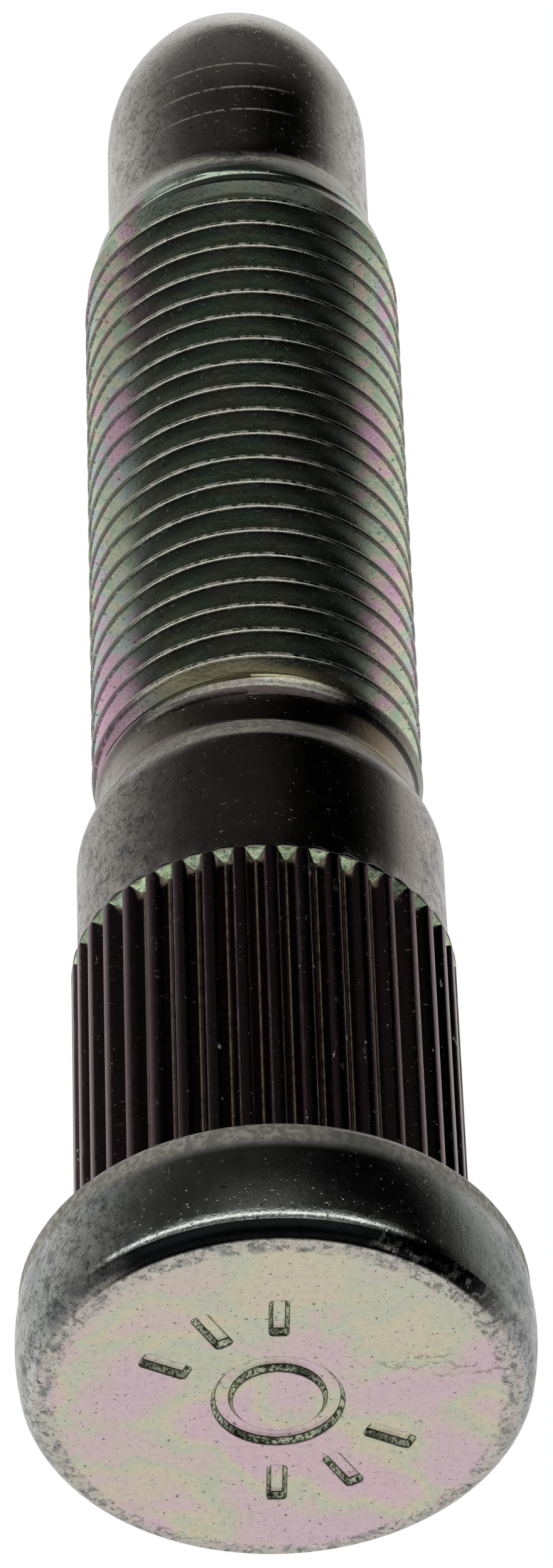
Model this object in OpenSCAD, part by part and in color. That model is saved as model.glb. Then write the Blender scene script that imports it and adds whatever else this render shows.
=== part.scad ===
// Pressed-in wheel stud: round head, press-fit splines, shoulder, neck, threaded
// shank and a smooth rounded nose, all one forged and rolled steel piece.
// Millimetres. +Z runs from the head to the nose; Z = 0 is the seating face
// under the head, on the axis.

/* [Head] */
// largest diameter of the barrel-shaped rim
head_diameter = 20.5; // [19:0.1:22]
// height from the seating face to the end face
head_height = 6.0; // [5.6:0.1:7]
// how far below the seating face the rim is widest
rim_belly = 3.1; // [2.6:0.1:3.4]
// radius of the rounding between rim and seating face
seat_round = 1.1; // [0.8:0.05:1.3]
// height of the rounded lower edge of the rim
edge_height = 0.95; // [0.8:0.05:1.1]
// radius of the rounded lower edge of the rim
edge_round = 1.7; // [1.5:0.05:2]
// lean of the rounded edge where it meets the rim, in degrees
edge_turn = 19; // [17:1:22]
// diameter of the flat part of the end face
face_diameter = 17.7; // [16.5:0.1:18]
// slope of the shallow ring bevel round the end face, in degrees
bevel_angle = 10; // [6:1:14]

/* [Raised marks on the end face] */
// height of the plain raised bars
bar_height = 0.3; // [0.1:0.05:0.4]
// length of a bar along the radius
bar_length = 2.0; // [1.5:0.1:2.4]
// width of a bar
bar_width = 0.75; // [0.5:0.05:1]
// distance from the axis to the middle of a bar
bar_circle = 4.9; // [4.2:0.1:5.4]
// angle between neighbouring bars of a group
bar_step = 32; // [24:1:36]
// outer diameter of the plain raised ring
ring_diameter = 5.2; // [4:0.1:5.6]
// width of the raised ring
ring_width = 0.8; // [0.5:0.05:1]
// height of the raised ring
ring_height = 0.2; // [0.1:0.05:0.25]

/* [Splines] */
// diameter over the spline crests
spline_diameter = 15.74; // [15.5:0.02:16]
// diameter at the bottom of the grooves
groove_diameter = 14.84; // [14.7:0.02:14.9]
// distance from the seating face to the end of the crests
spline_length = 16.6; // [12:0.1:18]
// number of splines
spline_count = 38; // [34:1:40]
// angle taken by one crest, in degrees
crest_angle = 3.1; // [2.6:0.1:3.6]
// length of the sloped wall that ends each groove
wall_length = 0.2; // [0.15:0.05:0.6]
// length of the chamfer between the crests and the shoulder
crest_chamfer = 0.3; // [0.15:0.05:0.5]
// share of the chamfer at which the groove walls come out
wall_share = 0.15; // [0.08:0.01:0.3]
// turn that puts a groove at its place round the axis, in degrees
groove_phase = -1.2; // [-4.7:0.1:4.7]

/* [Shoulder and neck] */
// diameter of the smooth shoulder
shoulder_diameter = 15.2; // [15:0.02:15.4]
// height at which the shoulder's sides meet its slope
shoulder_top = 23.2; // [21:0.1:23.8]
// radius that rounds the shoulder's top edge
shoulder_round = 3; // [1:0.1:4]
// diameter of the neck under the thread
neck_diameter = 13.2; // [13:0.05:13.4]
// height at which the shoulder slope meets the neck
neck_start = 25.2; // [24.8:0.1:25.6]
// height at which the neck ends
neck_end = 26.6; // [26.2:0.1:27]

/* [Thread] */
// diameter over the thread crests
thread_diameter = 13.86; // [13.7:0.02:14]
// height of the first full-diameter point of the thread
thread_start = 27.6; // [27:0.1:28.4]
// height of the last full-diameter point of the thread
thread_end = 57.3; // [50:0.1:60]
// distance between neighbouring crests
pitch = 1.5; // [1.25:0.25:2]
// how far below the first full-diameter point the groove starts
foot_drop = 1.2; // [0.8:0.1:1.6]
// turns over which the groove reaches its full depth
lead_in = 1.5; // [1:0.25:3]
// turns over which the groove fades out
fade_out = 3; // [2:0.25:4]
// steps of the thread groove in one turn
turn_steps = 24; // [20:2:30]

/* [Nose] */
// diameter of the smooth nose
nose_diameter = 11.62; // [11.3:0.02:11.9]
// length of the run-down from the thread to the nose
run_down = 4.6; // [4:0.1:5.5]
// length of the straight nose from the thread's end to the dome
nose_length = 10.55; // [8:0.05:12]
// radius of the dome's tip
tip_round = 5.15; // [4.8:0.05:5.4]
// radius of the dome's side
side_round = 9; // [7.5:0.5:11]

/* [Hidden] */
$fn = 96;
head_r = head_diameter / 2;
spline_r = spline_diameter / 2;
groove_r = groove_diameter / 2;
shoulder_r = shoulder_diameter / 2;
neck_r = neck_diameter / 2;
thread_r = thread_diameter / 2;
nose_r = nose_diameter / 2;
face_r = face_diameter / 2;
// each rounding circle crosses its neighbours by this much, for clean edges
lap = 0.015;
// centre of the rounding between the rim and the seating face
sr_z = -(seat_round - 3 * lap);
sr_far = head_r - seat_round + lap;
sr_x = sqrt(sr_far * sr_far - (rim_belly + sr_z) * (rim_belly + sr_z));
sr_low = -rim_belly + head_r * (rim_belly + sr_z) / sr_far;
// the rim's lower corner and the centre of the rounding below it
corner_z = -head_height + edge_height;
corner_r = sqrt(head_r * head_r - (corner_z + rim_belly) * (corner_z + rim_belly));
er_z = corner_z + edge_round * sin(edge_turn);
er_x = corner_r - edge_round * cos(edge_turn);
// centre of the rounding of the shoulder's top edge
slope_turn = atan((shoulder_r - neck_r) / (neck_start - shoulder_top));
sh_x = shoulder_r - shoulder_round + lap;
sh_z = shoulder_top - (shoulder_round - lap) * tan(slope_turn / 2);
// groove between two splines
step = 360 / spline_count;
half_gap = (step - crest_angle) / 2;
mouth_r = spline_r + 0.3;
wall_slope = wall_length / (spline_r - groove_r);
wall_r = spline_r - wall_share * (spline_r - shoulder_r);
wall_z = spline_length + wall_share * crest_chamfer;
gap_slope = spline_r * sin(half_gap) / (spline_r * cos(half_gap) - groove_r);
// dome of the nose
nose_start = thread_end + run_down;
dome_start = thread_end + nose_length;
side_x = nose_r - side_round + lap;
dome_turn = asin((side_round - nose_r) / (side_round - tip_round));
dome_z = dome_start + (side_round - tip_round) * cos(dome_turn) + lap;
far = 4;

// helical groove of the thread, from its first step to its last
groove_foot = thread_start - foot_drop;
groove_turns = floor((thread_end + 0.55 * run_down - groove_foot) / pitch);
groove_steps = groove_turns * turn_steps;
thread_depth = 0.613 * pitch;
root_flat = pitch / 6;
root_r = thread_r - thread_depth;
flank_slope = tan(30);
cut_r = root_r + (0.48 * pitch - root_flat / 2) / flank_slope;

// sector of directions from one angle to another, seen from a centre
module sector(centre, from, to, reach) {
    middle = (from + to) / 2;
    corner = reach / cos((to - from) / 2);
    translate(centre)
        polygon([
            [0, 0],
            [reach * cos(from), reach * sin(from)],
            [corner * cos(middle), corner * sin(middle)],
            [reach * cos(to), reach * sin(to)]
        ]);
}

// what a rounding takes off a convex corner: the sector outside its circle
module round_off(centre, radius, from, to, reach) {
    difference() {
        sector(centre, from, to, reach);
        translate(centre) circle(r = radius);
    }
}

// half section of the head, to the right of the axis
module head_section() {
    difference() {
        intersection() {
            translate([0, -rim_belly]) circle(r = head_r);
            polygon([
                [0, -head_height],
                [face_r, -head_height],
                [head_r + 1, -head_height + (head_r + 1 - face_r) * tan(bevel_angle)],
                [head_r + 1, 0],
                [0, 0]
            ]);
        }
        round_off([sr_x, sr_z], seat_round, atan((rim_belly + sr_z) / sr_x), 90, far);
        round_off([er_x, er_z], edge_round, -90 + bevel_angle, -edge_turn + 5, far);
    }
}

// half section of everything above the seating face
module shank_section() {
    difference() {
        polygon([
            [0, -1],
            [spline_r, -1],
            [spline_r, spline_length],
            [shoulder_r, spline_length + crest_chamfer],
            [shoulder_r, shoulder_top],
            [neck_r, neck_start],
            [neck_r, neck_end],
            [thread_r, thread_start],
            [thread_r, thread_end],
            [thread_r - 0.18, thread_end + 0.27 * run_down],
            [thread_r - 0.52, thread_end + 0.56 * run_down],
            [nose_r + 0.14, thread_end + 0.84 * run_down],
            [nose_r, nose_start],
            [nose_r, dome_z + tip_round + 1],
            [0, dome_z + tip_round + 1]
        ]);
        round_off([sh_x, sh_z], shoulder_round, 0, slope_turn, far);
        round_off([side_x, dome_start], side_round, 0, 90 - dome_turn + 1, side_round + far);
        round_off([0, dome_z], tip_round, 90 - dome_turn, 91, tip_round + far);
    }
}

// V grooves between the splines, each ended by a sloped wall
module grooves() {
    intersection() {
        linear_extrude(height = spline_length + 1)
            for (i = [0 : spline_count - 1])
                rotate(-90 + groove_phase + i * step)
                    polygon([
                        [groove_r, 0],
                        [mouth_r, (mouth_r - groove_r) * gap_slope],
                        [mouth_r, -(mouth_r - groove_r) * gap_slope]
                    ]);
        rotate_extrude()
            polygon([
                [groove_r - 1, -1],
                [mouth_r + 1, -1],
                [mouth_r + 1, wall_z + wall_slope * (mouth_r + 1 - wall_r)],
                [groove_r - 1, wall_z - wall_slope * (wall_r - groove_r + 1)]
            ]);
    }
}

// how far the groove's bottom lies outside the full root at one of its steps
function groove_lift(i) =
    let (
        near = max(0, 1 - i / (lead_in * turn_steps), 1 - (groove_steps - i) / (fade_out * turn_steps))
    )
    thread_depth * near;

// one of the four corners of the groove's section at one of its steps
function groove_corner(i, j) =
    let (
        turn = -90 + 360 * i / turn_steps,
        low_r = root_r + groove_lift(i),
        outer = j == 0 || j == 3,
        r = outer ? cut_r : low_r,
        half = root_flat / 2 + (r - low_r) * flank_slope,
        z = groove_foot + pitch * i / turn_steps + (j < 2 ? -half : half)
    )
    [r * cos(turn), r * sin(turn), z];

// V-shaped thread groove as one closed band that winds round the shank
module thread_groove() {
    points = [for (i = [0 : groove_steps], j = [0 : 3]) groove_corner(i, j)];
    walls = [
        for (i = [0 : groove_steps - 1], j = [0 : 3])
            let (a = 4 * i + j, b = 4 * i + (j + 1) % 4)
            for (t = [[a, b + 4, b], [a, a + 4, b + 4]]) t
    ];
    last = 4 * groove_steps;
    ends = [[0, 1, 2], [0, 2, 3], [last, last + 2, last + 1], [last, last + 3, last + 2]];
    polyhedron(points = points, faces = concat(walls, ends));
}

// one plain raised bar, centred on its own circle
module bar(angle) {
    rotate(angle)
        translate([bar_circle - bar_length / 2, -bar_width / 2, -head_height - bar_height])
            cube([bar_length, bar_width, bar_height + 0.2]);
}

// two groups of plain bars and a plain ring, raised on the end face
module marks() {
    for (side = [240, 60], k = [-1 : 1]) bar(side + k * bar_step);
    translate([0, 0, -head_height - ring_height])
        difference() {
            cylinder(d = ring_diameter, h = ring_height + 0.2);
            translate([0, 0, -1]) cylinder(d = ring_diameter - 2 * ring_width, h = ring_height + 2);
        }
}

module wheel_stud() {
    color([0.62, 0.61, 0.58]) {
        difference() {
            rotate_extrude() {
                head_section();
                shank_section();
            }
            grooves();
            thread_groove();
        }
        marks();
    }
}

wheel_stud();
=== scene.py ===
import math

import bpy
import numpy as np
from mathutils import Matrix, Vector
from mathutils.geometry import delaunay_2d_cdt


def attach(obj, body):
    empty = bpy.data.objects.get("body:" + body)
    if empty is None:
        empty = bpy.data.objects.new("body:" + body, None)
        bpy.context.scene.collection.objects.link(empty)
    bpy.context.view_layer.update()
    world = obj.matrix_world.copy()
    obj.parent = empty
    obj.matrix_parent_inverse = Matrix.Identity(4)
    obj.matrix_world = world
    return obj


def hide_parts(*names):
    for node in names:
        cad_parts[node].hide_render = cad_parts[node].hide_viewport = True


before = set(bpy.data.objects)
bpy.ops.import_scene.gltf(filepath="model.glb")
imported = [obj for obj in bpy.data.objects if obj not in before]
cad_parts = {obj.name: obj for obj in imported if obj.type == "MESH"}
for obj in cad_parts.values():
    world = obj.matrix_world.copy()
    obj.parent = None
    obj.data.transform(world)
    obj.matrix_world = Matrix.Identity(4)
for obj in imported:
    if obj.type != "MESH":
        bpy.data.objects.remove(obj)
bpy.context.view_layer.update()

MM = 0.001
DEGREES = 180 / math.pi
# a difference that doesn't count
HAIR = 1e-6

# Sizes of the part in millimetres, as in its CAD source, apart from the walls that end the
# grooves of the splines, which are longer here. The seating face lies at height 0, and PHASE is
# the angle of one groove in degrees, 0 at the front.
FACE_Z = -6.0
TEETH = 38
PHASE = -1.2
GROOVE_R, CREST_R = 7.42, 7.87
WALL_LOW, WALL_HIGH = 16.30, 16.64
PITCH = 1.5
THREAD_R = 6.93
NOSE_R = 5.81

# A tooth of the splines has eight points: angle from the groove's middle, radius, share of the lip.
LOW_FLANK_R, HIGH_FLANK_R = 7.632, 7.831
TOOTH = (
    (-0.45, GROOVE_R, 1.0), (0.45, GROOVE_R, 1.0), (1.8, LOW_FLANK_R, 0.72),
    (2.95, HIGH_FLANK_R, 0.25), (3.45, CREST_R, 0.0), (6.024, CREST_R, 0.0),
    (6.524, HIGH_FLANK_R, 0.25), (7.674, LOW_FLANK_R, 0.72),
)
# the points after which a tooth falls to the next groove
FALLING_SIDE = (5, 6, 7)
# lip rolled up over the ends of the grooves: its height, the share of it that stays level, and
# the stretches where it rises and fades
LIP_LIFT, LIP_MEAN = 0.16, 0.4
LIP_RISE, LIP_FADE = (16.60, 16.72), (16.95, 17.1)

# Thread: the zone where rows of points follow the helix, and where the groove deepens and fades.
Z_LOW, Z_HIGH = 26.6, 61.8
FIRST_CREST = 57.15 - 25 * PITCH
RUN_IN, RUN_OUT = (26.9, 28.5), (58.0, 61.0)
MOST_TURNS = 60
# rows of one turn, as fractions of a pitch above its crest, and where its flanks begin and end
ROWS = (-0.43, -0.36, -0.085, -0.05, 0.05, 0.085, 0.36, 0.43, 0.5)
FLANK_ENDS = (0.085, 0.36)
# depth that counts as the bottom of the groove, and the share of the full depth from which the
# groove's edges are creases
DEEPEST = 0.92
CREASED_FROM = 0.4

# Plain sunk marks on the end face, where the real stud has its signs.
MARKED_R = 6.7
BAR_CIRCLE, BAR_LENGTH, BAR_WIDTH = 4.9, 2.0, 0.75
BAR_CORNER, LEAST_CORNER = 0.16, 0.02
BAR_SIDES, BAR_STEP = (240, 60), 32
RING_D, RING_WIDTH = 5.2, 0.8
# section of a mark's wall from the face to its floor: how far it lies outside the outline, depth
MARK_WALL = (
    (0.10, 0.0), (0.05, 0.012), (0.02, 0.04), (-0.12, 0.25), (-0.16, 0.288), (-0.21, 0.30),
)
# number of the creases round the marks, and the angle in degrees from which any edge is sharp
MARK_CREASE = 100
SHARP_ANGLE = 46

# hair cracks on the end face: x from, x to, y
CRACKS = ((3.5, 7.8, -1.95), (5.0, 6.9, -2.5), (6.2, 9.0, -1.4), (-9.3, -8.5, -2.1))
# the three faint turns on the nose: height from, height to, at the angle 0
NOSE_TURNS = ((64.40, 64.50), (65.92, 66.04), (67.50, 67.62))

# The camera that was fitted to the photograph: place in millimetres, elevation below the horizon
# and roll in degrees, lens and sensor in millimetres.
CAMERA_AT = (0.80, -247.90, -217.94)
CAMERA_BELOW, CAMERA_ROLL = 45.24, 2.05
LENS, SENSOR = 191.52, 36
NEAR, FAR = 10, 10000
# half the floor's width, and its gap under the stud
FLOOR_HALF, FLOOR_GAP = 600, 0.02


def arc(cx, cz, r, a0, a1, n):
    """Points on a circle of the section, from angle a0 to a1 in degrees."""
    a = np.radians(np.linspace(a0, a1, n))
    return [(cx + r * math.cos(t), cz + r * math.sin(t)) for t in a]


def head_profile():
    """Section of the head from the marked middle of its end face to the splines."""
    points = [(r, FACE_Z) for r in (MARKED_R, 7.4, 8.1, 8.6, 8.8)]
    points += [(8.87, -5.995), (8.95, -5.983), (9.18, -5.942), (9.34, -5.913)]
    points += arc(8.458, -4.497, 1.7, -55.5, -24, 9)
    points += arc(0, -3.1, 10.25, -11.0, 9.3, 14)
    points += arc(9.075, -1.06, 1.06, 16, 86, 9)
    points += [(9.0, 0.0), (8.5, 0.0), (8.1, 0.0)]
    return points


def shank_profile():
    """Section from the splines up to the start of the thread zone."""
    points = [(CREST_R, z) for z in (0.0, 4.0, 8.0, 12.0, 15.6)]
    run = WALL_HIGH - WALL_LOW
    for r in (GROOVE_R, LOW_FLANK_R, HIGH_FLANK_R, CREST_R):
        points.append((CREST_R, WALL_LOW + run * (r - GROOVE_R) / (CREST_R - GROOVE_R)))
    points += [(7.872, 16.69), (7.85, 16.76), (7.78, 16.83), (7.68, 16.88), (7.62, 16.93), (7.6, 17.02)]
    points += [(7.6, z) for z in (18.0, 20.0, 22.7)]
    points += [(7.57, 23.0), (7.51, 23.3), (7.42, 23.6), (7.29, 23.9), (7.13, 24.2), (6.95, 24.55)]
    points += [(6.75, 24.93), (6.65, 25.13), (6.61, 25.28), (6.6, 25.5), (6.6, 26.0)]
    return points


def nose_profile():
    """Section of the nose above the thread's run-down, and the height of its tip."""
    side_r, tip_r, side_z = 9, 5.15, 67.85
    points = [(NOSE_R, z) for z in (62.4, 63.2, 64.0, 65.0, 66.0, 67.0, 67.7)]
    turn = math.degrees(math.asin((side_r - NOSE_R) / (side_r - tip_r)))
    join = 90 - turn
    top = side_z + (side_r - tip_r) * math.cos(math.radians(turn))
    points += arc(NOSE_R - side_r, side_z, side_r, 1.5, join - 2, 10)
    points += arc(0, top, tip_r, join + 1.5, 88, 12)
    return points, top + tip_r


def outline(z):
    """Radius over the crests in the thread zone."""
    heights = [26.6, 26.75, 27.0, 27.25, 27.4, 57.0, 57.6, 58.6, 60.0, 61.2, 61.8]
    radii = [6.60, 6.63, 6.75, 6.88, 6.93, 6.93, 6.89, 6.75, 6.40, 5.95, 5.81]
    return np.interp(z, heights, radii)


def groove_depth(u):
    """Depth of the thread form at a fraction u of a pitch away from the crest."""
    u = np.abs((u + 0.5) % 1.0 - 0.5)
    return np.interp(u, [0, 0.05, 0.085, 0.36, 0.43, 0.5], [0, 0.006, 0.04, 0.76, 0.88, 0.91])


def smooth(a, b, x):
    """Soft step from 0 at a to 1 at b."""
    t = np.clip((x - a) / (b - a), 0, 1)
    return t * t * (3 - 2 * t)


class Surface:
    """Points and faces of the stud. Each point keeps how deep it lies in the thread's groove, and
    the number of the crease that it is on, or 0."""

    def __init__(self):
        self.verts, self.faces = [], []
        self.valley, self.folds = [], []

    def put_xy(self, x, y, z, valley=0.0, fold=0):
        """A point given in millimetres."""
        self.verts.append((x * MM, y * MM, z * MM))
        self.valley.append(valley)
        self.folds.append(fold)
        return len(self.verts) - 1

    def put(self, r, angle, z, valley=0.0, fold=0):
        """A point at a radius and at an angle in degrees, 0 at the front."""
        t = math.radians(angle)
        return self.put_xy(r * math.sin(t), -r * math.cos(t), z, valley, fold)

    def quad(self, a, b, c, d, other=False):
        """Two triangles: a and b are below from left to right, c and d above them."""
        if other:
            halves = ((a, b, c), (b, d, c))
        else:
            halves = ((a, b, d), (a, d, c))
        self.faces += [t for t in halves if len(set(t)) == 3]

    def band(self, low, up, others=()):
        """Closed strip between two rings; others are the points of a tooth split the other way."""
        for j in range(len(low)):
            after = (j + 1) % len(low)
            self.quad(low[j], low[after], up[j], up[after], j % len(TOOTH) in others)


def lower_rings():
    """Rings from the marked face up to the thread zone: radius and height of each point."""
    tooth_r = np.array([r for angle, r, share in TOOTH] * TEETH)
    lip = np.array([share for angle, r, share in TOOTH] * TEETH)
    n = len(lip)
    rings = [(np.full(n, r), np.full(n, z)) for r, z in head_profile()]
    for r, z in shank_profile():
        wall = GROOVE_R + (z - WALL_LOW) * (CREST_R - GROOVE_R) / (WALL_HIGH - WALL_LOW)
        radius = np.full(n, r)
        if z < WALL_HIGH - HAIR:
            radius = np.minimum(r, np.maximum(tooth_r, wall))
        lift = LIP_LIFT * (lip - LIP_MEAN) * smooth(*LIP_RISE, z) * (1 - smooth(*LIP_FADE, z))
        rings.append((radius, z + lift))
    return rings


def add_lower(surface, phi):
    """The head, splines, shoulder and neck; gives the points of the last ring."""
    rings = lower_rings()
    index = []
    for r, z in rings:
        index.append([surface.put(r[j], phi[j], z[j]) for j in range(len(phi))])
    fill_face(surface, marked_face(surface, index[0]))
    for i in range(len(index) - 1):
        low_z, up_z = rings[i][1][0], rings[i + 1][1][0]
        groove_ends = low_z >= WALL_LOW - HAIR and up_z <= WALL_HIGH + HAIR
        surface.band(index[i], index[i + 1], FALLING_SIDE if groove_ends else ())
    return index[-1]


def thread_rows(phi):
    """Heights of the helical rows at each angle, and the number of each row's crease, or 0."""
    lift = (phi - phi[0]) / 360
    heights, creases = [], []
    for turn in range(MOST_TURNS):
        for number, u in enumerate(ROWS, 1):
            z = FIRST_CREST + (turn + u + lift + phi[0] / 360) * PITCH
            if z.max() < Z_LOW - 1.1 * PITCH or z.min() > Z_HIGH + 1.1 * PITCH:
                continue
            heights.append(np.clip(z, Z_LOW, Z_HIGH))
            creases.append(number if abs(u) in FLANK_ENDS else 0)
    return np.array(heights), creases


def thread_points(surface, phi, low, up):
    """Grid of the points of the thread zone. Rows that leave it run along the rings low and up."""
    z, creases = thread_rows(phi)
    u = (z - FIRST_CREST) / PITCH - phi[None, :] / 360
    fade = smooth(*RUN_IN, z) * (1 - smooth(*RUN_OUT, z))
    r = np.minimum(outline(z), THREAD_R - groove_depth(u) * fade)
    depth = np.clip((THREAD_R - r) / DEEPEST, 0, 1)
    grid = np.full(z.shape, -1, dtype=int)
    for i, j in np.ndindex(z.shape):
        if z[i, j] <= Z_LOW + HAIR:
            grid[i, j] = low[j]
        elif z[i, j] >= Z_HIGH - HAIR:
            grid[i, j] = up[j]
        else:
            fold = creases[i] if fade[i, j] > CREASED_FROM else 0
            grid[i, j] = surface.put(r[i, j], phi[j], z[i, j], float(depth[i, j] * fade[i, j]), fold)
    return grid


def add_thread(surface, phi, below):
    """The thread zone from the ring of points below it; gives the points of its upper ring."""
    low = [surface.put(outline(Z_LOW), angle, Z_LOW) for angle in phi]
    up = [surface.put(outline(Z_HIGH), angle, Z_HIGH) for angle in phi]
    surface.band(below, low)
    grid = thread_points(surface, phi, low, up)
    rows, n = grid.shape
    turn = len(ROWS)
    for i in range(rows - 1):
        for j in range(n - 1):
            surface.quad(grid[i, j], grid[i, j + 1], grid[i + 1, j], grid[i + 1, j + 1])
        # round the back, a row meets the one that is a turn higher
        if i + turn + 1 < rows:
            surface.quad(grid[i, -1], grid[i + turn, 0], grid[i + 1, -1], grid[i + turn + 1, 0])
    return up


def add_nose(surface, phi, ring):
    """The nose from the ring of points below it, closed at its tip."""
    profile, tip_z = nose_profile()
    for r, z in profile:
        above = [surface.put(r, angle, z) for angle in phi]
        surface.band(ring, above)
        ring = above
    tip = surface.put(0, 0, tip_z)
    for j in range(len(ring)):
        surface.faces.append((ring[j], ring[(j + 1) % len(ring)], tip))


def bar_outline(angle, grow):
    """Rounded outline of the bar at an angle round the axis, anticlockwise seen from the nose."""
    t = math.radians(angle)
    ex, ey = np.array([math.cos(t), math.sin(t)]), np.array([-math.sin(t), math.cos(t)])
    a, b = BAR_LENGTH / 2 + grow, BAR_WIDTH / 2 + grow
    c = max(BAR_CORNER + grow, LEAST_CORNER)
    points = []
    for sx, sy, start in ((1, 1, 0), (-1, 1, 90), (-1, -1, 180), (1, -1, 270)):
        for q in np.radians([start, start + 30, start + 60, start + 90]):
            x, y = sx * (a - c) + c * math.cos(q), sy * (b - c) + c * math.sin(q)
            points.append((BAR_CIRCLE + x) * ex + y * ey)
    return points


def circle(r, n=96):
    """Points on a circle round the axis, anticlockwise seen from the nose."""
    a = np.linspace(0, 2 * math.pi, n, endpoint=False)
    return [np.array([r * math.cos(t), r * math.sin(t)]) for t in a]


def sunk_wall(surface, outlines, island=False):
    """Wall of a mark through its outlines, from the face down to the floor; gives their points."""
    loops = []
    ends = (0, len(MARK_WALL) - 1)
    for row, points in enumerate(outlines):
        z = FACE_Z + MARK_WALL[row][1]
        fold = MARK_CREASE if row in ends else 0
        loops.append([surface.put_xy(x, y, z, fold=fold) for x, y in points])
    for low, up in zip(loops, loops[1:]):
        for j in range(len(low)):
            after = (j + 1) % len(low)
            q = (low[j], low[after], up[after], up[j])
            surface.faces.append(q if island else q[::-1])
    return loops


def marked_face(surface, edge):
    """Sunk bars and ring inside the points `edge`; gives the loops that bound the flat face."""
    bars = []
    for side in BAR_SIDES:
        for q in (-1, 0, 1):
            angle = side + q * BAR_STEP
            bars.append(sunk_wall(surface, [bar_outline(angle, grow) for grow, deep in MARK_WALL]))
            surface.faces.append(tuple(reversed(bars[-1][-1])))
    outer_r, inner_r = RING_D / 2, RING_D / 2 - RING_WIDTH
    outer = sunk_wall(surface, [circle(outer_r + grow) for grow, deep in MARK_WALL])
    inner = sunk_wall(surface, [circle(inner_r - grow) for grow, deep in MARK_WALL], island=True)
    out_floor, in_floor = outer[-1], inner[-1]
    for j in range(len(out_floor)):
        after = (j + 1) % len(out_floor)
        surface.faces.append((out_floor[j], in_floor[j], in_floor[after], out_floor[after]))
    return [edge] + [loops[0] for loops in bars] + [outer[0], inner[0]]


def fill_face(surface, loops):
    """Flat triangles between the loops: the outer edge, the bars, then the ring's two edges."""
    ids = [i for loop in loops for i in loop]
    points = [Vector((surface.verts[i][0] / MM, surface.verts[i][1] / MM)) for i in ids]
    edges, owner = [], []
    for number, loop in enumerate(loops):
        start, n = len(owner), len(loop)
        edges += [(start + j, start + (j + 1) % n) for j in range(n)]
        owner += [number] * n
    result = delaunay_2d_cdt(points, edges, [], 1, HAIR)
    triangles, origin = result[2], result[3]
    ring_edges = {len(loops) - 2, len(loops) - 1}
    bars = set(range(1, len(loops) - 2))
    r_out = RING_D / 2 + MARK_WALL[0][0]
    r_in = RING_D / 2 - RING_WIDTH - MARK_WALL[0][0]
    for triangle in triangles:
        # the floors of the bars and of the ring are there already
        corners = [origin[v][0] for v in triangle]
        touched = {owner[v] for v in corners}
        if len(touched) == 1 and touched & bars:
            continue
        middle = sum((points[v] for v in corners), Vector((0, 0))) / 3
        if r_in < middle.length < r_out and touched <= ring_edges:
            continue
        a, b, c = (ids[v] for v in corners)
        surface.faces.append((a, c, b))


def build():
    """The whole stud as one closed skin: rings of points, helical in the thread zone."""
    surface = Surface()
    steps = [angle for angle, r, share in TOOTH]
    phi = np.array([PHASE + k * 360 / TEETH + a for k in range(TEETH) for a in steps])
    neck_ring = add_lower(surface, phi)
    nose_ring = add_thread(surface, phi, neck_ring)
    add_nose(surface, phi, nose_ring)
    mesh = bpy.data.meshes.new("wheel_stud_skin")
    mesh.from_pydata(surface.verts, [], surface.faces)
    mesh.validate()
    mesh.update()
    ob = bpy.data.objects.new("wheel_stud_skin", mesh)
    bpy.context.scene.collection.objects.link(ob)
    valley = mesh.attributes.new("valley", "FLOAT", "POINT")
    valley.data.foreach_set("value", surface.valley)
    mesh.shade_smooth()
    mesh.set_sharp_from_angle(angle=math.radians(SHARP_ANGLE))
    add_creases(mesh, surface.folds)
    return ob


def add_creases(mesh, folds):
    """Sharp edges along the flanks of the thread and round the marks' walls."""
    ends = np.zeros(len(mesh.edges) * 2, dtype=np.int32)
    mesh.edges.foreach_get("vertices", ends)
    fold = np.array(folds)[ends.reshape(-1, 2)]
    sharp = mesh.attributes["sharp_edge"]
    on = np.zeros(len(mesh.edges), dtype=bool)
    sharp.data.foreach_get("value", on)
    on |= (fold[:, 0] > 0) & (fold[:, 0] == fold[:, 1])
    sharp.data.foreach_set("value", on)


class Named:
    """A few outputs of nodes, each under its name."""

    def __init__(self, **outputs):
        self.__dict__.update(outputs)


# places of the colour sockets in a Mix node, where each kind of value has its own
MIX_FACTOR, MIX_A, MIX_B, MIX_RESULT = 0, 6, 7, 2


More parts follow.
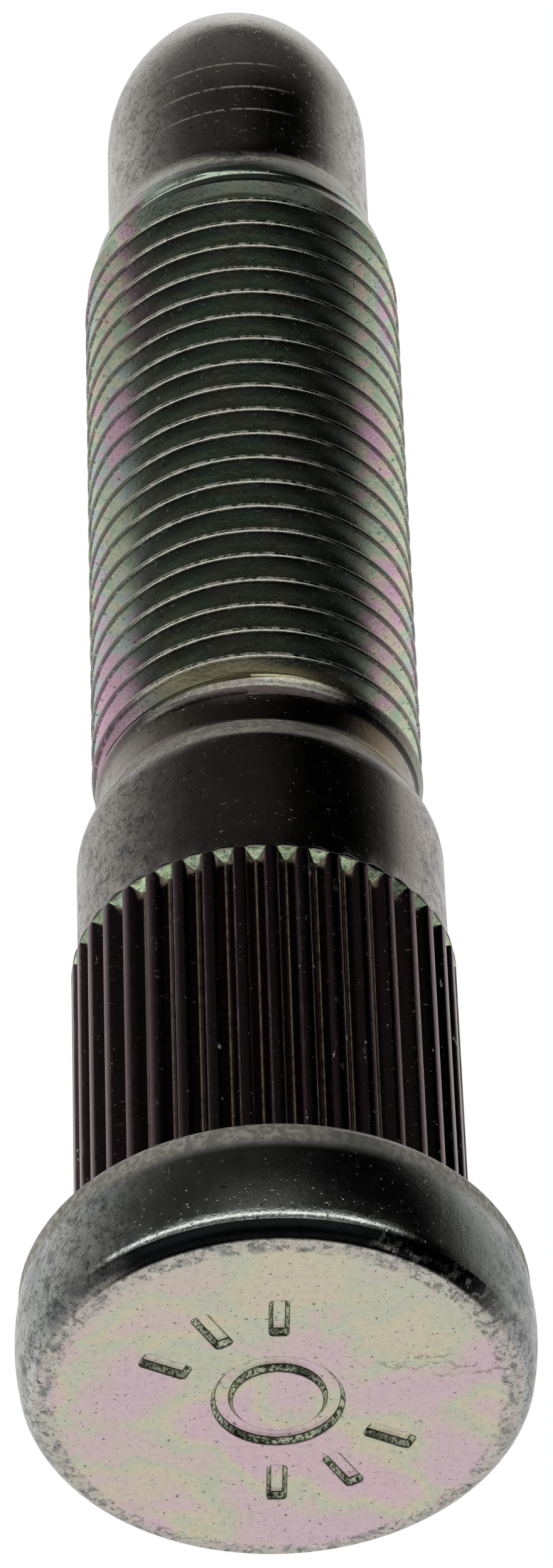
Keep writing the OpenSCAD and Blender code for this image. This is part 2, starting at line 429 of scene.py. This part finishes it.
class Nodes:
    """Short calls that add nodes to a tree, named n below. Each gives the output of its node."""

    def __init__(self, tree):
        self.tree = tree
        tree.nodes.clear()

    def add(self, kind, **settings):
        node = self.tree.nodes.new(kind)
        for key, value in settings.items():
            setattr(node, key, value)
        return node

    def link(self, a, b):
        self.tree.links.new(a, b)

    def put(self, sock, v):
        """A number, a colour or a link into a socket."""
        if isinstance(v, (int, float, tuple)):
            sock.default_value = v
        else:
            self.link(v, sock)

    def calc(self, op, a, b=0.0, clamp=False):
        node = self.add("ShaderNodeMath", operation=op, use_clamp=clamp)
        self.put(node.inputs[0], a)
        self.put(node.inputs[1], b)
        return node.outputs[0]

    def chain(self, op, first, others):
        for value in others:
            first = self.calc(op, first, value)
        return first

    def times(self, first, *others):
        return self.chain("MULTIPLY", first, others)

    def plus(self, first, *others):
        return self.chain("ADD", first, others)

    def most(self, first, *others):
        return self.chain("MAXIMUM", first, others)

    def minus(self, a, b):
        return self.calc("SUBTRACT", a, b)

    def invert(self, a):
        return self.calc("SUBTRACT", 1.0, a)

    def size_of(self, a):
        return self.calc("ABSOLUTE", a)

    def step(self, x, a, b, start=0.0, end=1.0):
        """Soft step from the value start at a to the value end at b."""
        node = self.add("ShaderNodeMapRange", interpolation_type="SMOOTHSTEP")
        node.clamp = True
        self.put(node.inputs["Value"], x)
        node.inputs["From Min"].default_value = a
        node.inputs["From Max"].default_value = b
        node.inputs["To Min"].default_value = start
        node.inputs["To Max"].default_value = end
        return node.outputs[0]

    def fall(self, x, a, b):
        """Soft step from 1 at a down to 0 at b."""
        return self.step(x, a, b, 1.0, 0.0)

    def window(self, x, a, b, soft):
        """1 between a and b, 0 outside, with soft edges."""
        return self.times(self.step(x, a - soft, a + soft), self.fall(x, b - soft, b + soft))

    def mix(self, f, a, b):
        """Colour a where f is 0, colour b where f is 1."""
        node = self.add("ShaderNodeMix", data_type="RGBA", blend_type="MIX")
        self.put(node.inputs[MIX_FACTOR], f)
        self.put(node.inputs[MIX_A], (*a, 1) if isinstance(a, tuple) else a)
        self.put(node.inputs[MIX_B], (*b, 1) if isinstance(b, tuple) else b)
        return node.outputs[MIX_RESULT]

    def ramp(self, f, stops):
        node = self.add("ShaderNodeValToRGB")
        node.color_ramp.interpolation = "LINEAR"
        elements = node.color_ramp.elements
        while len(elements) < len(stops):
            elements.new(0.5)
        for element, (position, colour) in zip(elements, stops):
            element.position = position
            element.color = (*colour, 1)
        self.put(node.inputs[0], f)
        return node.outputs[0]

    def noise(self, vec, scale, detail, rough, dist=0.0):
        node = self.add("ShaderNodeTexNoise")
        self.put(node.inputs["Vector"], vec)
        node.inputs["Scale"].default_value = scale
        node.inputs["Detail"].default_value = detail
        node.inputs["Roughness"].default_value = rough
        node.inputs["Distortion"].default_value = dist
        return node.outputs[0]

    def stretch(self, vec, scale):
        node = self.add("ShaderNodeMapping")
        self.put(node.inputs["Vector"], vec)
        node.inputs["Scale"].default_value = scale
        return node.outputs[0]

    def bump(self, height, distance, strength, under=None):
        """Bump of a distance in millimetres, on top of another bump."""
        node = self.add("ShaderNodeBump")
        node.inputs["Strength"].default_value = strength
        node.inputs["Distance"].default_value = distance * MM
        self.link(height, node.inputs["Height"])
        if under is not None:
            self.link(under, node.inputs["Normal"])
        return node.outputs[0]


# Colours of the passivated zinc, each with its place on a ramp, of what lies on it, and of painted
# shade and highlights.
FACE_HUES = (
    (0.0, (0.69, 0.52, 0.58)), (0.3, (0.68, 0.56, 0.51)), (0.5, (0.58, 0.61, 0.47)),
    (0.7, (0.68, 0.62, 0.45)), (1.0, (0.70, 0.52, 0.57)),
)
VIVID_HUES = (
    (0.0, (0.86, 0.52, 0.72)), (0.22, (0.84, 0.74, 0.56)), (0.42, (0.50, 0.72, 0.52)),
    (0.60, (0.78, 0.80, 0.56)), (0.8, (0.56, 0.72, 0.70)), (1.0, (0.88, 0.56, 0.70)),
)
OLIVE_HUES = ((0.0, (0.42, 0.42, 0.34)), (0.5, (0.34, 0.47, 0.37)), (1.0, (0.43, 0.44, 0.30)))
WALL_GLINTS = (
    (0.0, (0.08, 0.11, 0.05)), (0.45, (0.95, 1.0, 0.74)),
    (0.7, (1.0, 1.0, 0.88)), (1.0, (0.20, 0.25, 0.12)),
)
GROOVE_END_HUES = (
    (0.0, (0.50, 0.62, 0.36)), (0.45, (0.62, 0.80, 0.52)),
    (0.75, (0.80, 0.84, 0.62)), (1.0, (0.42, 0.58, 0.40)),
)
BARE_STEEL, RIM_STEEL = (0.56, 0.52, 0.46), (0.50, 0.53, 0.51)
RIM_LEFT_LIGHT, NOSE_STEEL = (0.72, 0.75, 0.71), (0.86, 0.83, 0.76)
DULL_BLOOM, DARK_GRAIN = (0.36, 0.35, 0.32), (0.12, 0.11, 0.10)
BLOTCH, RIM_SIDE_SHADE = (0.15, 0.16, 0.17), (0.13, 0.14, 0.16)
PALE_FLAKE, PEPPER, SOOT_AND_SHADOW = (0.72, 0.74, 0.70), (0.09, 0.10, 0.11), (0.05, 0.045, 0.04)
CRACK, MARK_EDGE_SHADE = (0.20, 0.18, 0.16), (0.04, 0.05, 0.03)
FLANK_SHADE, CREST_SHADE = (0.010, 0.020, 0.014), (0.20, 0.17, 0.15)
CREST_HIGHLIGHT, THREAD_SHADE = (0.86, 0.82, 0.70), (0.10, 0.11, 0.10)
SHOULDER_MIDDLE_SHADE, SHOULDER_RIGHT_SHADE = (0.20, 0.18, 0.19), (0.03, 0.03, 0.035)
FIRST_RIDGE_HIGHLIGHT, BEVEL_END_SHADE = (0.42, 0.38, 0.22), (0.06, 0.06, 0.05)
NECK_BROWN_SHADE, NECK_GOLD, HOLLOW_SHADE = (0.22, 0.16, 0.15), (0.50, 0.38, 0.20), (0.03, 0.025, 0.025)
SCUFF_DARK, SCUFF_PALE = (0.42, 0.40, 0.34), (0.85, 0.80, 0.68)
ROLL_MARK, CORNER_SHADE = (0.80, 0.76, 0.66), (0.003, 0.004, 0.005)
OIL_BROWN, OIL_PURPLE = (0.22, 0.16, 0.13), (0.20, 0.11, 0.17)
ROOT_HIGHLIGHT, NICK, LIP_SHADE = (0.42, 0.32, 0.20), (0.85, 0.80, 0.66), (0.07, 0.06, 0.06)


def place(n):
    """Where a point of the skin lies: x, y, z and the radius r in millimetres, the angle phi in
    degrees, 0 at the front, and how deep it lies in the thread's groove."""
    metres = n.add("ShaderNodeTexCoord").outputs["Object"]
    mm = n.stretch(metres, (1 / MM, 1 / MM, 1 / MM))
    split = n.add("ShaderNodeSeparateXYZ")
    n.link(mm, split.inputs[0])
    x, y, z = split.outputs
    r = n.calc("SQRT", n.plus(n.times(x, x), n.times(y, y)))
    phi = n.times(n.calc("ARCTAN2", x, n.times(y, -1.0)), DEGREES)
    valley = n.add("ShaderNodeAttribute", attribute_name="valley").outputs["Fac"]
    return Named(mm=mm, x=x, y=y, z=z, r=r, phi=phi, valley=valley)


def zones(n, at):
    """Masks of the stud's parts, 1 on the part and 0 off it, bounded by heights z and radii r in
    millimetres and by angles phi in degrees."""
    z, r, phi = at.z, at.r, at.phi
    zone = Named(
        face=n.times(n.fall(z, -5.6, -5.4), n.fall(r, 8.7, 9.2)),
        sunk=n.times(n.window(z, -5.975, -5.72, 0.012), n.fall(r, 6.6, 6.8)),
        bevel_ring=n.times(n.fall(z, -5.8, -5.6), n.window(r, 8.75, 9.7, 0.1)),
        rim=n.times(n.window(z, -5.75, 0.05, 0.05), n.step(r, 8.9, 9.3)),
        rim_corner=n.times(n.window(z, -5.35, -4.95, 0.06), n.step(r, 9.7, 9.9)),
        spline=n.times(n.window(z, 0.05, 16.62, 0.03), n.invert(n.window(r, 0.0, 7.4, 0.001))),
        shoulder=n.window(z, 16.9, 24.4, 0.2),
        neck=n.times(n.window(z, 25.0, 26.95, 0.1), n.window(phi, -50, 60, 20)),
        thread=n.window(z, 26.9, 61.2, 0.5),
        nose=n.step(z, 61.7, 62.4),
        middle=n.window(phi, -42, 44, 12),
        flanks=n.most(n.fall(phi, -42, -22), n.step(phi, 48, 66)),
    )
    # the skin that has lost its gloss: the sides of the rim, shoulder and nose, and the bevel
    sides = n.calc("ADD", n.plus(zone.rim, n.times(zone.nose, 0.7)), zone.shoulder, clamp=True)
    zone.rough_skin = n.calc("ADD", n.times(zone.flanks, sides), zone.bevel_ring, clamp=True)
    zone.scuff = scuffed(n, at)
    return zone


def scuffed(n, at):
    """Dull, scuffed bands: the rim's upper edge, the shoulder's top and the thread's first bevel."""
    rim_top = n.times(n.window(at.z, -1.5, 0.1, 0.4), n.step(at.r, 8.3, 8.8))
    shoulder_top = n.window(at.z, 23.55, 25.05, 0.12)
    bevel = n.times(n.window(at.z, 26.95, 27.4, 0.08), n.window(at.phi, -34, 30, 8))
    bands = n.most(rim_top, shoulder_top, n.times(bevel, 0.2))
    return n.times(bands, n.invert(n.times(n.window(at.phi, 12, 30, 8), 0.45)))


def zinc_colour(n, at, zone):
    """Passivated zinc: drifting hues on the end face, long streaks on the thread."""
    patch = n.step(n.noise(at.mm, 0.21, 3.0, 0.5, 0.3), 0.36, 0.64)
    toward = n.step(at.y, -8.0, -2.5, 0.6, 0.0)
    patch = n.plus(n.times(patch, n.invert(toward)), n.times(toward, 0.58))
    soft = n.ramp(patch, FACE_HUES)
    streak = n.step(n.noise(n.stretch(at.mm, (1, 1, 0.28)), 0.30, 4.0, 0.55, 0.4), 0.34, 0.66)
    steel = n.mix(zone.rim, BARE_STEEL, RIM_STEEL)
    # painted light: the rim is made lighter on its left side
    steel = n.mix(n.times(zone.rim, n.fall(at.phi, -46, -26)), steel, RIM_LEFT_LIGHT)
    steel = n.mix(zone.nose, steel, NOSE_STEEL)
    colour = n.mix(0.15, steel, soft)
    colour = n.mix(n.times(zone.face, 0.95), colour, soft)
    streaks = n.mix(zone.middle, n.ramp(streak, VIVID_HUES), n.ramp(streak, OLIVE_HUES))
    return n.mix(n.times(zone.thread, 0.9), colour, streaks)


def dirt(n, at, zone, colour):
    """Dull, fine-grained bloom, with darker grains and specks, and painted shade on the rim's sides."""
    dull = n.times(n.step(zone.grain, 0.42, 0.72), n.minus(0.3, n.times(zone.thread, 0.2)))
    colour = n.mix(dull, colour, DULL_BLOOM)
    fine = n.times(n.step(zone.fine, 0.56, 0.72), n.minus(0.45, n.times(zone.face, 0.33)))
    colour = n.mix(fine, colour, DARK_GRAIN)
    blotch = n.step(n.noise(at.mm, 1.5, 8.0, 0.75, 0.4), 0.48, 0.62)
    colour = n.mix(n.times(blotch, zone.rough_skin, 0.75), colour, BLOTCH)
    # painted shade: dark patches on the sides of the rim
    shaded_patch = n.step(n.noise(at.mm, 0.45, 8.0, 0.72, 0.5), 0.46, 0.60)
    colour = n.mix(n.times(shaded_patch, n.times(zone.rim, zone.flanks), 0.5), colour, RIM_SIDE_SHADE)
    pale = n.step(n.noise(at.mm, 2.4, 8.0, 0.75, 0.4), 0.52, 0.64)
    colour = n.mix(n.times(pale, zone.rough_skin, 0.45), colour, PALE_FLAKE)
    pepper = n.step(n.noise(at.mm, 3.6, 4.0, 0.7), 0.54, 0.60)
    colour = n.mix(n.times(pepper, zone.rough_skin, 0.65), colour, PEPPER)
    specks = n.step(n.noise(at.mm, 5.0, 2.0, 0.6), 0.64, 0.70)
    return n.mix(n.times(specks, 0.7), colour, SOOT_AND_SHADOW)


def face_colour(n, at, zone, colour):
    """Hair cracks on the end face, and the walls of its sunk marks: painted glints between
    painted shade along their edges."""
    wander = n.times(n.minus(n.noise(at.mm, 0.8, 5.0, 0.65), 0.5), 2.4)
    crack = 0.0
    for x0, x1, y0 in CRACKS:
        off = n.size_of(n.minus(n.minus(at.y, y0), wander))
        crack = n.most(crack, n.times(n.fall(off, 0.02, 0.07), n.window(at.x, x0, x1, 0.2)))
    faint = n.step(n.noise(at.mm, 1.6, 3.0, 0.6), 0.40, 0.56, 0.25, 0.75)
    colour = n.mix(n.times(crack, faint, zone.face), colour, CRACK)
    # painted glints on the middle of the marks' walls, painted shade at their top and bottom edges
    wall_glint = n.ramp(n.step(n.noise(at.mm, 3.4, 3.0, 0.6), 0.38, 0.62), WALL_GLINTS)
    inner_wall = n.window(at.z, -5.945, -5.75, 0.02)
    return n.mix(zone.sunk, colour, n.mix(inner_wall, MARK_EDGE_SHADE, wall_glint))


def thread_colour(n, at, zone, colour):
    """Painted shade on the flanks of the thread, and painted highlights on its crests."""
    thread, phi = zone.thread, at.phi
    # painted shadow: a dark line just under the crests
    under = n.times(thread, n.window(at.valley, 0.05, 0.14, 0.03))
    under = n.times(under, n.step(n.noise(at.mm, 3.0, 5.0, 0.7), 0.30, 0.50))
    colour = n.mix(n.times(under, 0.8), colour, SOOT_AND_SHADOW)
    zone.spark = n.step(n.noise(at.mm, 2.6, 5.0, 0.75), 0.42, 0.6)
    crest = n.times(thread, n.fall(at.valley, 0.01, 0.12))
    # crests round the front get a painted highlight, the other crests painted shade
    zone.lit_crest = n.times(crest, n.window(phi, -46, 30, 12))
    # painted shade on the flanks round the front, weaker near the run-out
    dim = n.times(n.window(phi, -50, 48, 8), n.invert(crest))
    dim = n.times(dim, n.step(at.z, 57.8, 59.3, 1.0, 0.15))
    colour = n.mix(n.times(thread, dim, 0.63), colour, FLANK_SHADE)
    colour = n.mix(n.times(n.minus(crest, zone.lit_crest), 0.6), colour, CREST_SHADE)
    wear_and_highlight = n.times(zone.lit_crest, n.plus(0.35, n.times(zone.spark, 0.6)))
    colour = n.mix(wear_and_highlight, colour, CREST_HIGHLIGHT)
    # painted shade on the thread a little right of the front
    return n.mix(n.times(thread, n.window(phi, 16, 38, 8), 0.7), colour, THREAD_SHADE)


def shoulder_colour(n, at, zone, colour):
    """The shoulder, the neck above it and the first ridge of the thread, with painted shade and
    highlights.
    """
    z, phi = at.z, at.phi
    # painted shade on the middle of the shoulder
    middle = n.times(zone.shoulder, zone.middle, n.invert(zone.scuff))
    colour = n.mix(n.times(middle, 0.25), colour, SHOULDER_MIDDLE_SHADE)
    # painted shade on the shoulder's right side
    right = n.times(zone.shoulder, n.window(phi, 14, 46, 6))
    colour = n.mix(n.times(right, 0.6), colour, SHOULDER_RIGHT_SHADE)
    # painted highlight on the first ridge of the thread, round the front
    first = n.times(n.window(z, 27.3, 28.45, 0.15), n.window(phi, -34, 40, 10))
    colour = n.mix(n.times(first, 0.55), colour, FIRST_RIDGE_HIGHLIGHT)
    # painted shade on the left end of the thread's first bevel
    bevel_end = n.times(n.window(z, 26.9, 27.5, 0.1), n.window(phi, -52, -22, 8))
    colour = n.mix(n.times(bevel_end, 0.7), colour, BEVEL_END_SHADE)
    # painted shade on the neck, brownish, stronger towards the right
    colour = n.mix(n.times(zone.neck, n.step(phi, -30, 12, 0.35, 0.85)), colour, NECK_BROWN_SHADE)
    worn_steel = n.mix(n.step(zone.grain, 0.42, 0.6), SCUFF_DARK, SCUFF_PALE)
    colour = n.mix(n.times(zone.scuff, 0.85), colour, worn_steel)
    # painted shade in the hollow where the neck meets the thread, weaker on the left
    hollow = n.times(n.window(z, 26.62, 26.98, 0.05), n.step(phi, -48, -26, 0.1, 1.0))
    colour = n.mix(n.times(hollow, 0.88), colour, HOLLOW_SHADE)
    golden = n.times(n.window(z, 23.6, 26.6, 0.3), n.window(phi, 40, 62, 8))
    return n.mix(n.times(golden, 0.6), colour, NECK_GOLD)


def nose_marks(n, at, zone, colour):
    """Three faint, broken turns on the nose, left by the rolling of the thread."""
    turn = n.minus(at.z, n.times(at.phi, PITCH / 360))
    a, b, c = [n.window(turn, low, up, 0.05) for low, up in NOSE_TURNS]
    marks = n.calc("ADD", n.plus(a, b), c, clamp=True)
    zone.marks = n.times(marks, n.window(at.phi, -32, 20, 10), n.step(zone.grain, 0.36, 0.52))
    return n.mix(n.times(zone.marks, 0.8), colour, ROLL_MARK)


def corner_shade(n, at, colour):
    """Painted shade in the rounding under the rim's corner, broken towards the right."""
    # painted shade: the rounding under the corner is made nearly black round the front, with breaks
    # towards the right
    covered = n.times(n.window(at.z, -5.92, -5.3, 0.03), n.window(at.phi, -42, 60, 10))
    breaks = n.step(n.noise(at.mm, 2.0, 6.0, 0.7, 0.4), 0.50, 0.60)
    covered = n.times(covered, n.invert(n.times(breaks, n.step(at.phi, 20, 32, 0.0, 0.7))))
    return n.mix(n.times(covered, n.step(at.r, 9.3, 9.5), 0.985), colour, CORNER_SHADE)


def groove_wall(n, at):
    """Mask of the sloped walls that end the grooves of the splines."""
    slope = (CREST_R - GROOVE_R) / (WALL_HIGH - WALL_LOW)
    cone = n.plus(n.times(n.minus(at.z, WALL_LOW), slope), GROOVE_R)
    on_cone = n.fall(n.size_of(n.minus(at.r, cone)), 0.015, 0.04)
    between = n.window(at.z, WALL_LOW + 0.01, WALL_HIGH - 0.005, 0.01)
    return n.times(between, on_cone, n.fall(at.r, 7.84, 7.862))


def spline_colour(n, at, zone, colour):
    """Splines under a dark, oily coat, rubbed off on the edges of their crests, with a thin painted
    highlight along the roots of the grooves, bright groove ends and nicks where bare steel glints."""
    mm, r, z = at.mm, at.r, at.z
    wear_and_highlight = n.step(n.noise(n.stretch(mm, (1, 1, 0.25)), 3.0, 4.0, 0.7), 0.50, 0.64)
    edge = n.times(n.window(r, 7.79, 7.86, 0.015), wear_and_highlight)
    root = n.fall(r, 7.425, 7.46)
    oily = n.mix(n.noise(mm, 0.5, 2.0, 0.5), OIL_BROWN, OIL_PURPLE)
    bare = n.plus(n.times(edge, 0.55), n.times(root, 0.25))
    colour = n.mix(n.times(zone.spline, n.minus(0.95, bare)), colour, oily)

    pace = 360 / TEETH
    tooth = n.calc("FRACT", n.plus(n.calc("DIVIDE", n.minus(at.phi, PHASE), pace), 0.5))
    off = n.times(n.size_of(n.minus(tooth, 0.5)), pace)
    # painted highlight: a thin light line along the root of each groove
    seam = n.times(root, n.fall(off, 0.15, 0.34))
    broken = n.step(n.noise(mm, 2.0, 5.0, 0.7), 0.30, 0.60, 0.25, 1.0)
    zone.root_line = n.times(n.times(zone.spline, seam), broken)
    colour = n.mix(n.times(zone.root_line, 0.8), colour, ROOT_HIGHLIGHT)

    wall = groove_wall(n, at)
    bright = n.ramp(n.step(n.noise(mm, 2.2, 3.0, 0.6), 0.38, 0.62), GROOVE_END_HUES)
    colour = n.mix(wall, colour, bright)
    nick = n.step(n.noise(n.stretch(mm, (1, 1, 0.6)), 1.9, 3.0, 0.6), 0.665, 0.70)
    zone.nick = n.times(nick, n.window(r, 7.70, 7.86, 0.02), n.window(z, 0.3, 16.2, 0.3))
    colour = n.mix(n.times(zone.nick, 0.8), colour, NICK)
    lip = n.times(n.window(z, 16.62, 16.86, 0.02), n.minus(0.75, n.times(wall, 0.75)))
    return n.mix(lip, colour, LIP_SHADE)


def metal_share(n, at, zone):
    """How metallic the skin is. Nicked and scuffed places, the top of the nose, and the crests and
    roots painted as highlights scatter light instead."""
    scatter = n.most(
        n.times(zone.thread, n.step(at.valley, 0.08, 0.3), 0.10),
        n.times(zone.lit_crest, zone.spark, 0.65),
        n.times(zone.root_line, 0.7),
        n.times(zone.sunk, 0.2),
        n.times(n.most(zone.marks, zone.nick), 0.5),
        n.times(n.step(at.z, 65.5, 69.5), 0.16),
        n.times(zone.scuff, 0.62),
    )
    return n.invert(scatter)


def roughness(n, at, zone):
    """Glossy coat on the thread and splines, a duller shell with bloom elsewhere."""
    bloom = n.step(n.noise(at.mm, 1.1, 8.0, 0.72, 0.2), 0.44, 0.70)
    covered = n.calc("ADD", n.plus(zone.thread, zone.spline), zone.neck, clamp=True)
    shell = n.calc("SUBTRACT", 1.0, covered, clamp=True)
    shell = n.times(shell, n.plus(0.25, n.times(zone.flanks, 0.75)))
    rough = n.plus(0.09, n.times(zone.grain, 0.10))
    rough = n.plus(rough, n.times(bloom, shell, 0.26))
    rough = n.plus(rough, n.times(n.step(zone.fine, 0.5, 0.7), shell, 0.15))
    polish = n.times(zone.rim_corner, n.step(n.noise(at.mm, 0.35, 3.0, 0.6), 0.36, 0.56))
    rough = n.times(rough, n.invert(n.times(polish, 0.6)))
    return n.plus(rough, n.times(zone.scuff, 0.3))


def relief(n, at):
    """Slow waves of the forged skin, its fine grain and small pits."""
    slow = n.bump(n.noise(at.mm, 0.9, 3.0, 0.5), 0.035, 0.5)
    skin_grain = n.bump(n.noise(at.mm, 6.0, 6.0, 0.65), 0.022, 0.4, slow)
    pits = n.fall(n.noise(at.mm, 4.2, 2.0, 0.5), 0.66, 0.74)
    return n.bump(pits, 0.03, 0.35, skin_grain)


def metal():
    """The material of the stud."""
    material = bpy.data.materials.new("plated_steel")
    material.use_nodes = True
    n = Nodes(material.node_tree)
    out = n.add("ShaderNodeOutputMaterial")
    bsdf = n.add("ShaderNodeBsdfPrincipled")
    n.link(bsdf.outputs[0], out.inputs[0])
    at = place(n)
    zone = zones(n, at)
    # two noises that several of the looks share
    zone.grain = n.noise(at.mm, 3.5, 5.0, 0.65)
    zone.fine = n.noise(at.mm, 12.0, 3.0, 0.65)
    colour = zinc_colour(n, at, zone)
    colour = dirt(n, at, zone, colour)
    colour = face_colour(n, at, zone, colour)
    colour = thread_colour(n, at, zone, colour)
    colour = shoulder_colour(n, at, zone, colour)
    colour = nose_marks(n, at, zone, colour)
    colour = corner_shade(n, at, colour)
    colour = spline_colour(n, at, zone, colour)
    n.link(colour, bsdf.inputs["Base Color"])
    n.link(metal_share(n, at, zone), bsdf.inputs["Metallic"])
    n.link(roughness(n, at, zone), bsdf.inputs["Roughness"])
    n.link(relief(n, at), bsdf.inputs["Normal"])
    return material


# brightness of the screen round the stud at an azimuth in degrees, 0 at the front
SCREEN = (
    (-180, 0.75), (-140, 0.62), (-112, 0.46), (-92, 0.27), (-72, 0.12), (-48, 0.038),
    (-20, 0.022), (4, 0.018), (20, 0.006), (34, 0.001), (66, 0.001), (78, 0.03),
    (92, 0.17), (106, 0.36), (120, 0.54), (180, 0.75),
)
# how much darker the screen is below the stud
LOW_DARKER = 0.022


def below_stud(n, elevation, azimuth, side):
    """Light from below: the screen, a foot, a bent apron that the groove ends mirror, and a lamp
    that the thread's crests and the walls of the sunk marks mirror."""
    low = n.calc("SUBTRACT", side, LOW_DARKER, clamp=True)
    low = n.times(low, n.step(elevation, -66, -48, 0.4, 1.0))
    foot = n.times(n.step(elevation, -74, -62, 0.06, 0.0), n.window(azimuth, -105, 40, 15))
    low = n.most(n.plus(low, 0.002), foot)
    bend = n.minus(elevation, n.times(n.size_of(azimuth), 0.22))
    apron = n.times(n.window(bend, -65, -56, 1.5), n.window(azimuth, -95, 70, 12))
    low = n.plus(low, n.times(apron, 0.9))
    lamp = n.times(n.window(elevation, -34, -14, 3), n.window(azimuth, -62, 42, 12))
    return n.plus(low, n.times(lamp, 0.9))


def studio():
    """The world: a dark screen in front, brighter towards the sides and behind, with a strip of
    light at the height of the stud. The camera sees plain white."""
    world = bpy.data.worlds.new("studio")
    bpy.context.scene.world = world
    world.use_nodes = True
    n = Nodes(world.node_tree)
    out = n.add("ShaderNodeOutputWorld")
    background = n.add("ShaderNodeBackground")
    split = n.add("ShaderNodeSeparateXYZ")
    n.link(n.add("ShaderNodeTexCoord").outputs["Generated"], split.inputs[0])
    dx, dy, dz = split.outputs
    elevation = n.times(n.calc("ARCSINE", dz), DEGREES)
    azimuth = n.times(n.calc("ARCTAN2", dx, n.times(dy, -1.0)), DEGREES)
    turn = n.calc("DIVIDE", n.plus(azimuth, 180.0), 360.0)
    side = n.ramp(turn, [((a + 180) / 360, (v, v, v)) for a, v in SCREEN])
    low = below_stud(n, elevation, azimuth, side)
    above = n.step(elevation, 6, 18)
    level = n.plus(n.times(side, above), n.times(low, n.invert(above)))
    wing = n.times(n.step(elevation, 25, 41, 0.08, 0.0), n.window(azimuth, -24, 15, 10))
    wing = n.times(wing, n.step(elevation, 6, 12))
    strip = n.times(n.window(elevation, -1, 10.5, 1.5), n.window(azimuth, -66, 46, 10))
    level = n.plus(level, wing, n.times(strip, 1.9))
    ground = n.fall(elevation, -87, -80)
    behind = n.times(n.step(n.size_of(azimuth), 95, 130), n.fall(elevation, 0, 20))
    seen = n.add("ShaderNodeLightPath").outputs["Is Camera Ray"]
    level = n.most(level, n.times(ground, 0.8), n.times(behind, 0.8), seen)
    background.inputs["Color"].default_value = (1, 1, 1, 1)
    n.link(level, background.inputs["Strength"])
    n.link(background.outputs[0], out.inputs[0])


def floor():
    """White paper under the stud. Only the camera sees it, and only from above."""
    mesh = bpy.data.meshes.new("floor")
    half, z = FLOOR_HALF * MM, (FACE_Z - FLOOR_GAP) * MM
    corners = [(-half, -half, z), (half, -half, z), (half, half, z), (-half, half, z)]
    mesh.from_pydata(corners, [], [(0, 1, 2, 3)])
    ob = bpy.data.objects.new("floor", mesh)
    bpy.context.scene.collection.objects.link(ob)
    material = bpy.data.materials.new("paper")
    material.use_nodes = True
    n = Nodes(material.node_tree)
    out = n.add("ShaderNodeOutputMaterial")
    white = n.add("ShaderNodeBsdfDiffuse")
    white.inputs["Color"].default_value = (0.93, 0.93, 0.92, 1)
    clear = n.add("ShaderNodeBsdfTransparent")
    mixer = n.add("ShaderNodeMixShader")
    seen = n.add("ShaderNodeLightPath").outputs["Is Camera Ray"]
    back = n.add("ShaderNodeNewGeometry").outputs["Backfacing"]
    n.link(n.times(seen, n.invert(back)), mixer.inputs[0])
    n.link(clear.outputs[0], mixer.inputs[1])
    n.link(white.outputs[0], mixer.inputs[2])
    n.link(mixer.outputs[0], out.inputs[0])
    mesh.materials.append(material)


def camera():
    """The photograph's camera, looking up at the end face from in front of the stud."""
    cam = bpy.data.cameras.new("camera")
    cam.lens = LENS
    cam.sensor_width = SENSOR
    cam.clip_start, cam.clip_end = NEAR * MM, FAR * MM
    ob = bpy.data.objects.new("camera", cam)
    bpy.context.scene.collection.objects.link(ob)
    below, roll = math.radians(CAMERA_BELOW), math.radians(CAMERA_ROLL)
    level_up = Vector((0, -math.cos(below), math.sin(below)))
    view = Vector((0, math.sin(below), math.cos(below)))
    level_right = Vector((1, 0, 0))
    right = math.cos(roll) * level_right - math.sin(roll) * level_up
    up = math.sin(roll) * level_right + math.cos(roll) * level_up
    matrix = Matrix.Identity(4)
    for i in range(3):
        matrix[i][0], matrix[i][1], matrix[i][2] = right[i], up[i], -view[i]
    matrix.translation = Vector(CAMERA_AT) * MM
    ob.matrix_world = matrix
    bpy.context.scene.camera = ob


skin = build()
skin.data.materials.append(metal())
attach(skin, "root")
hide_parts("wheel_stud")
studio()
floor()
camera()
bpy.context.scene.view_settings.view_transform = "Standard"
